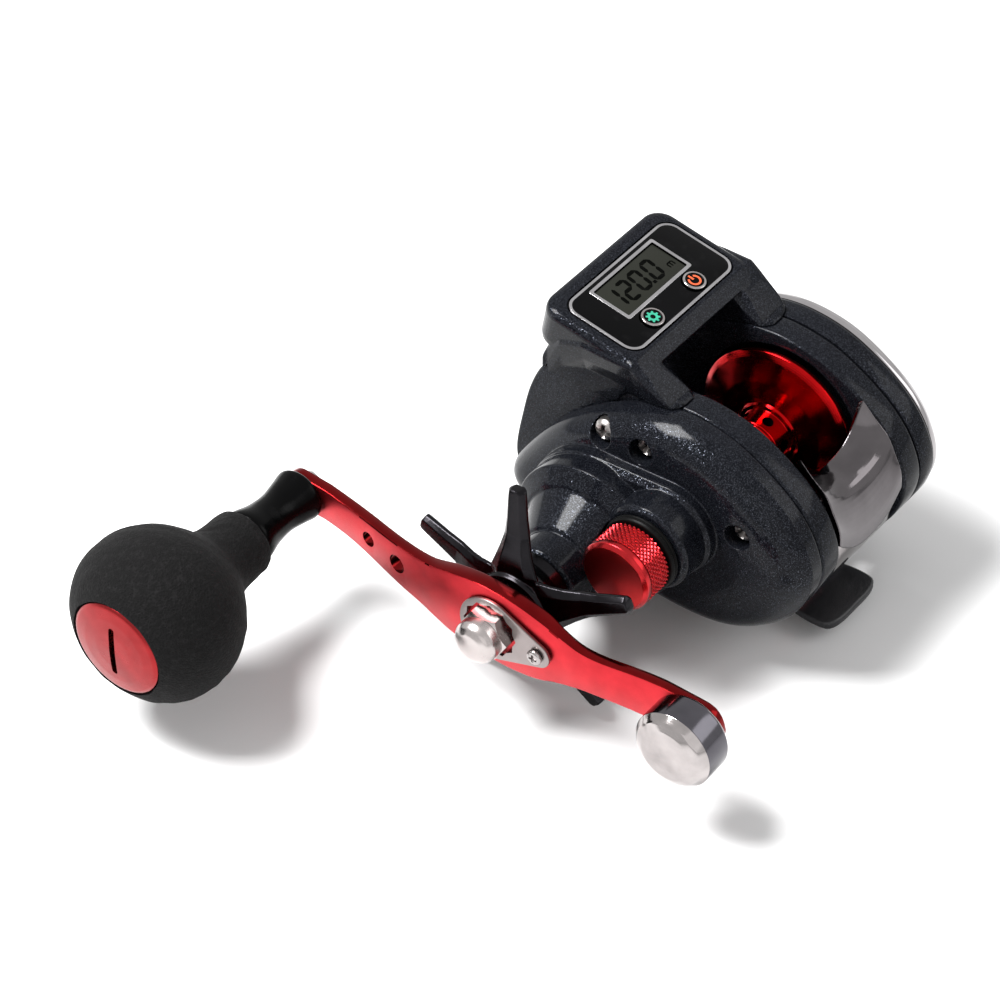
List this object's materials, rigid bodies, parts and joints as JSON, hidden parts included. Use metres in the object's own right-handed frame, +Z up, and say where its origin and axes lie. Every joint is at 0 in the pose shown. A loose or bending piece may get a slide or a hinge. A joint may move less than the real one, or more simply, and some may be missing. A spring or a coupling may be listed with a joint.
{
  "type": "baitcasting reel",
  "caption": "Low-profile left-hand baitcasting fishing reel with a crank and round foam knob, star drag, level wind, thumb bar and a digital line counter over the frame.",
  "frame": {"origin": "middle of the flat face under the reel foot", "axes": "+X to the palm side, -X to the handle, +Y forward to the line guide, +Z up from the foot"},
  "size_m": [0.1491, 0.1266, 0.0649],
  "materials": {
    "sparkle_paint": "blue-black metal-flake gloss paint",
    "black_gloss": "gloss black",
    "black_satin": "satin black",
    "black_metal": "gloss black paint on metal",
    "black_rubber": "matt black rubber",
    "red_anodised": "bright red anodised aluminium",
    "gunmetal_chrome": "dark polished chrome",
    "polished_steel": "polished",
    "satin_steel": "turned steel",
    "brass": "machined brass",
    "carbon": "woven carbon drag disc",
    "foam": "matt closed-cell foam",
    "white_plastic": "moulded nylon",
    "display_grey": "grey-green liquid crystal display",
    "green_board": "solder-masked board",
    "button_orange": "black button with an orange mark",
    "button_green": "black button with a green mark",
    "magnet_nickel": "nickel plated"
  },
  "bodies": {
    "reel_body": {"main_frame": "sparkle_paint", "reel_foot": "black_satin", "tension_side_bearing": "satin_steel", "palm_side_bearing": "satin_steel", "yoke_spring_upper": "satin_steel", "yoke_spring_lower": "satin_steel", "guide_rail": "polished_steel", "drive_shaft_bearing": "satin_steel", "one_way_bearing": "satin_steel", "gear_side_cover": "sparkle_paint", "gear_cover_screw_front": "polished_steel", "gear_cover_screw_top": "polished_steel", "gear_cover_screw_rear": "polished_steel", "tension_ring": "black_rubber", "palm_side_cover": "sparkle_paint", "magnet_ring": "magnet_nickel", "palm_side_cap": "gunmetal_chrome", "counter_housing": "sparkle_paint", "display_panel": "black_gloss", "lcd_module": "display_grey", "circuit_board": "green_board", "battery_cap": "black_satin", "coin_cell": "polished_steel", "counter_base": "black_satin", "rear_cover": "gunmetal_chrome"},
    "handle": {"drive_shaft": "satin_steel", "worm_driver_gear": "white_plastic", "trip_ratchet": "satin_steel", "carbon_brake_disc": "carbon", "drive_gear": "brass", "drag_carbon_disc": "carbon", "drag_pressure_plate": "satin_steel", "clutch_sleeve": "polished_steel", "drag_spring_washer": "satin_steel", "handle_spacer": "black_satin", "handle_arm": "red_anodised", "nut_retainer": "satin_steel", "handle_nut": "polished_steel", "retainer_screw": "polished_steel", "knob_post": "satin_steel", "counterweight": "polished_steel"},
    "star_wheel": {"star_drag": "black_metal"},
    "knob": {"knob_sleeve": "black_gloss", "knob_grip": "foam", "knob_cap": "red_anodised"},
    "spool_unit": {"spool": "red_anodised", "spool_shaft": "satin_steel"},
    "yoke": {"pinion_yoke": "satin_steel"},
    "pinion": {"pinion_gear": "brass"},
    "worm": {"worm_shaft": "satin_steel", "worm_gear": "white_plastic"},
    "line_guide_unit": {"line_guide": "black_gloss", "guide_insert": "polished_steel", "guide_pawl": "satin_steel"},
    "thumb_lever": {"thumb_bar": "gunmetal_chrome", "clutch_plate": "satin_steel"},
    "tension_dial": {"tension_knob": "red_anodised"},
    "brake_control": {"brake_dial": "black_gloss"},
    "power_key": {"power_button": "button_orange"},
    "set_key": {"set_button": "button_green"}
  },
  "joints": [
    {"name": "handle_turn", "type": "hinge", "parent": "reel_body", "child": "handle", "pos_m": [0, 0.01588, 0.02077], "axis": [1, 0, 0], "continuous": true},
    {"name": "star_drag_turn", "type": "hinge", "parent": "handle", "child": "star_wheel", "pos_m": [0, 0.01588, 0.02077], "axis": [1, 0, 0], "range_deg": [-270, 270]},
    {"name": "knob_spin", "type": "hinge", "parent": "handle", "child": "knob", "pos_m": [0, 0.06912, 0.02319], "axis": [1, 0, 0], "continuous": true},
    {"name": "spool_spin", "type": "hinge", "parent": "reel_body", "child": "spool_unit", "pos_m": [0, 0, 0.029], "axis": [1, 0, 0], "continuous": true},
    {"name": "thumb_bar_press", "type": "slide", "parent": "reel_body", "child": "thumb_lever", "axis": [0, -0.5, -0.866], "range_m": [0, 0.003]},
    {"name": "yoke_slide", "type": "slide", "parent": "reel_body", "child": "yoke", "axis": [-1, 0, 0], "range_m": [0, 0.002], "deforming": ["yoke_spring_upper", "yoke_spring_lower"]},
    {"name": "pinion_spin", "type": "hinge", "parent": "yoke", "child": "pinion", "pos_m": [0, 0, 0.029], "axis": [1, 0, 0], "continuous": true},
    {"name": "worm_spin", "type": "hinge", "parent": "reel_body", "child": "worm", "pos_m": [0, 0.03187, 0.02077], "axis": [1, 0, 0], "continuous": true},
    {"name": "line_guide_travel", "type": "slide", "parent": "reel_body", "child": "line_guide_unit", "axis": [1, 0, 0], "range_m": [-0.006, 0.006]},
    {"name": "tension_knob_turn", "type": "hinge", "parent": "reel_body", "child": "tension_dial", "pos_m": [0, 0, 0.029], "axis": [1, 0, 0], "range_deg": [-180, 180]},
    {"name": "brake_dial_turn", "type": "hinge", "parent": "reel_body", "child": "brake_control", "pos_m": [0, 0, 0.029], "axis": [1, 0, 0], "range_deg": [0, 270]},
    {"name": "power_button_press", "type": "slide", "parent": "reel_body", "child": "power_key", "axis": [0, 0.1874, -0.9823], "range_m": [0, 0.0005], "stiffness_N_per_m": 200, "springref_m": -0.0005},
    {"name": "set_button_press", "type": "slide", "parent": "reel_body", "child": "set_key", "axis": [0, 0.1874, -0.9823], "range_m": [0, 0.0005], "stiffness_N_per_m": 200, "springref_m": -0.0005}
  ],
  "couplings": [
    {"joint": "spool_spin", "follows": "handle_turn", "ratio": -6.3},
    {"joint": "pinion_spin", "follows": "handle_turn", "ratio": -6.3},
    {"joint": "worm_spin", "follows": "handle_turn", "ratio": -1.8},
    {"joint": "yoke_slide", "follows": "thumb_bar_press", "ratio": 0.66667}
  ]
}
